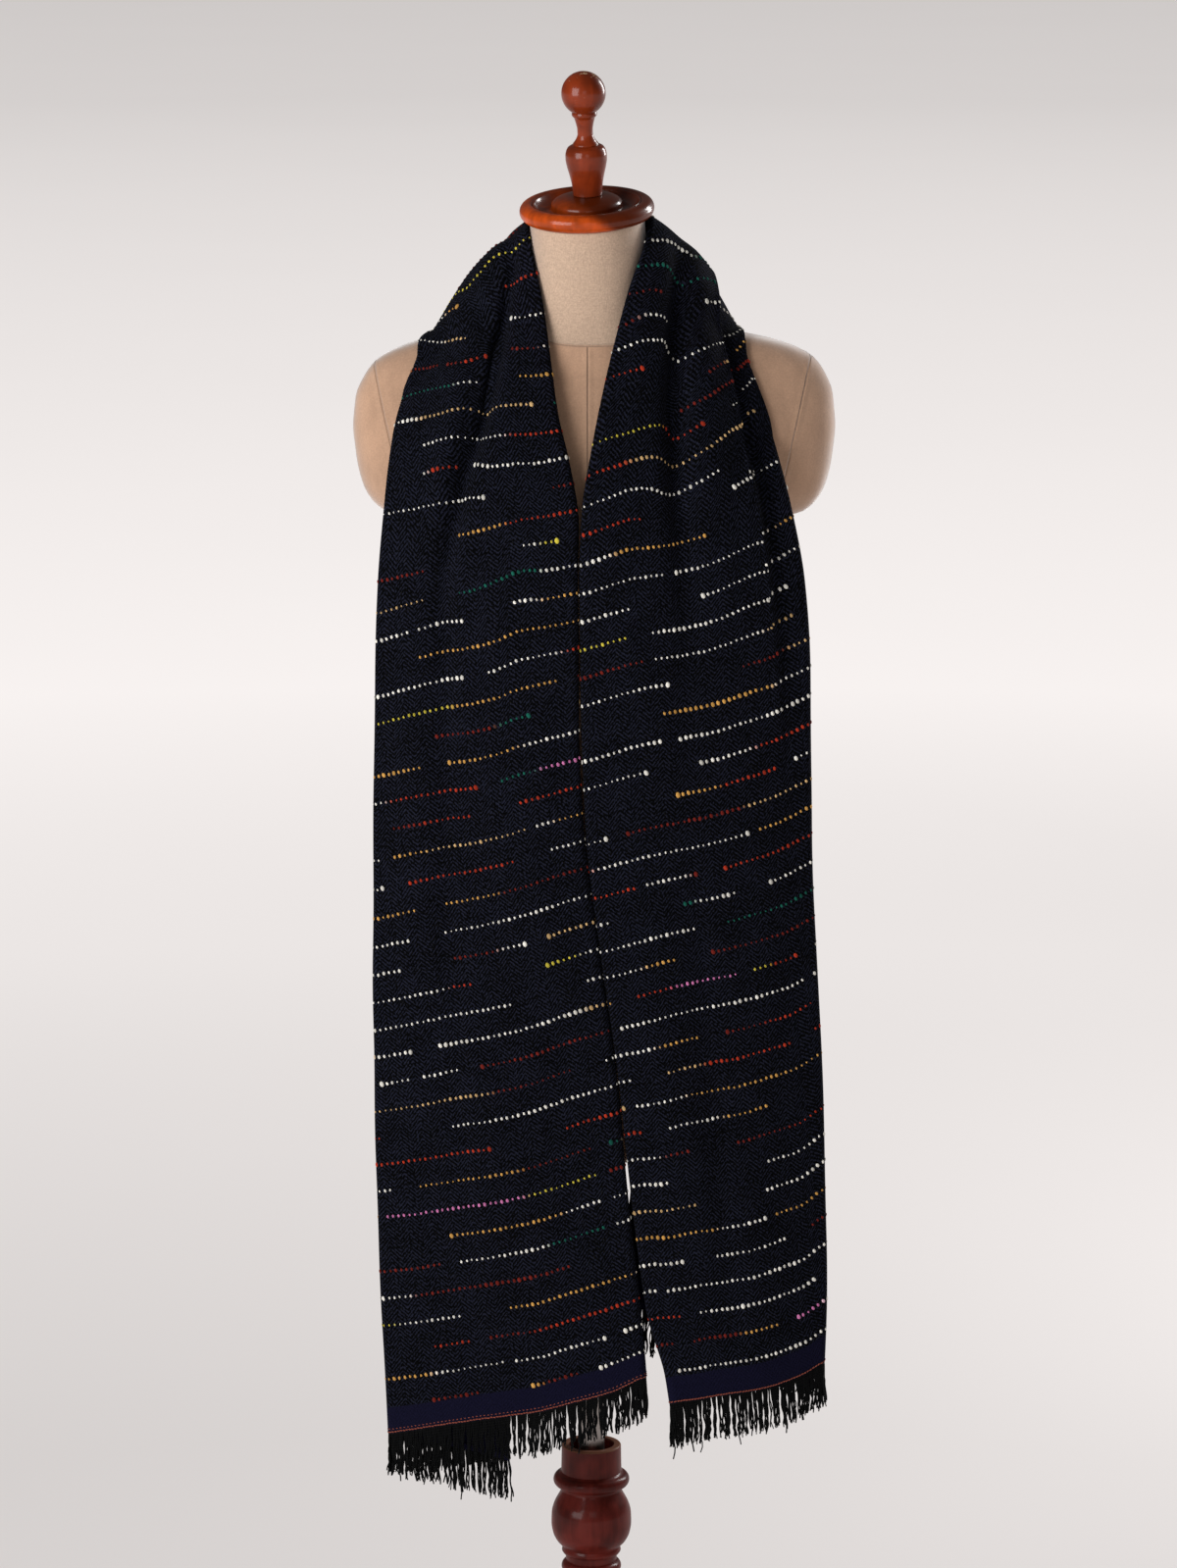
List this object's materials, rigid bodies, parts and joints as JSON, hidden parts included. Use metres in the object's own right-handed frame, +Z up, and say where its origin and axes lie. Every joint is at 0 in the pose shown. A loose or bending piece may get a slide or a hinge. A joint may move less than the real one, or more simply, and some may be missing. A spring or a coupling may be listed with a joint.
{
  "type": "fringed scarf on a limbless dress form with a turned stand",
  "caption": "Long fringed wool scarf, folded lengthwise and hung round the neck of a limbless dress form on a turned wooden stand.",
  "frame": {"origin": "centre of the base's underside, on the floor", "axes": "+Z up; the front of the form and both hanging ends of the scarf face -Y; +X is to the right of a viewer in front"},
  "size_m": [0.41, 0.41, 1.6515],
  "materials": {
    "dark_wool": "soft napped twill",
    "black_yarn": "loose yarn ends",
    "beige_jersey": "matt",
    "red_wood": "glossy varnish",
    "dark_red_wood": "glossy varnish",
    "steel": "brushed"
  },
  "bodies": {
    "stand": {"base": "dark_red_wood", "post": "dark_red_wood"},
    "pole": {"pole": "steel"},
    "form": {"torso": "beige_jersey", "neck_cap": "red_wood", "finial": "red_wood", "scarf_left": "dark_wool", "scarf_neck": "dark_wool", "scarf_right": "dark_wool", "fringe_left": "black_yarn", "fringe_right": "black_yarn"}
  },
  "joints": [
    {"name": "height", "type": "slide", "parent": "stand", "child": "pole", "axis": [0, 0, 1], "range_m": [-0.1, 0.12]},
    {"name": "turn", "type": "hinge", "parent": "pole", "child": "form", "pos_m": [0, 0, 0.8], "axis": [0, 0, 1], "continuous": true}
  ]
}
